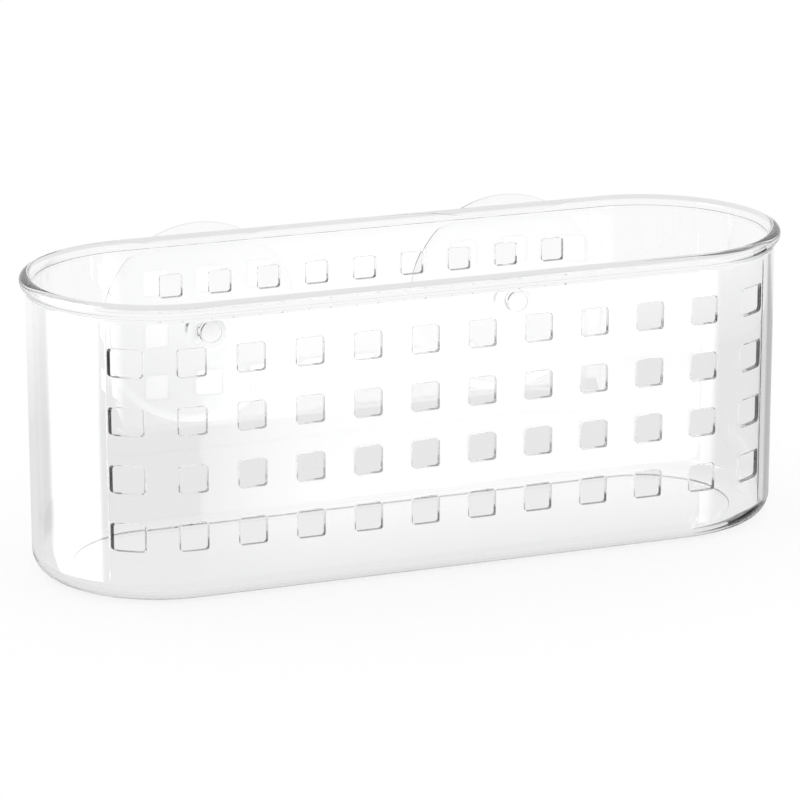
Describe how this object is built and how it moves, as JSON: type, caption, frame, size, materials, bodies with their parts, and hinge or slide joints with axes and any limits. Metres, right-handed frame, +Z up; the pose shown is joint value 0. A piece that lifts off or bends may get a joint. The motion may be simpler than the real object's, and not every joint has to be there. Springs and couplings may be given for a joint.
{
  "type": "shower basket",
  "caption": "Clear oblong shower basket with a rolled rim and rows of square drain holes, held to a smooth wall by soft suction cups whose studs push through its back.",
  "frame": {"origin": "centre of the basket's flat underside", "axes": "+X along the basket to the right as seen from the front, +Y to the wall that it hangs on, +Z up"},
  "size_m": [0.3, 0.1135, 0.115],
  "materials": {
    "clear_plastic": "clear, colourless, polished moulding",
    "soft_cup": "clear soft vinyl, slightly milky, smooth"
  },
  "bodies": {
    "basket": {"basket": "clear_plastic"},
    "left_cup": {"left_suction_cup": "soft_cup"},
    "right_cup": {"right_suction_cup": "soft_cup"}
  },
  "joints": [
    {"name": "left_cup_swivel", "type": "hinge", "parent": "basket", "child": "left_cup", "pos_m": [-0.0636, 0.0493, 0.075], "axis": [0, 1, 0], "continuous": true},
    {"name": "right_cup_swivel", "type": "hinge", "parent": "basket", "child": "right_cup", "pos_m": [0.0636, 0.0493, 0.075], "axis": [0, 1, 0], "continuous": true}
  ]
}
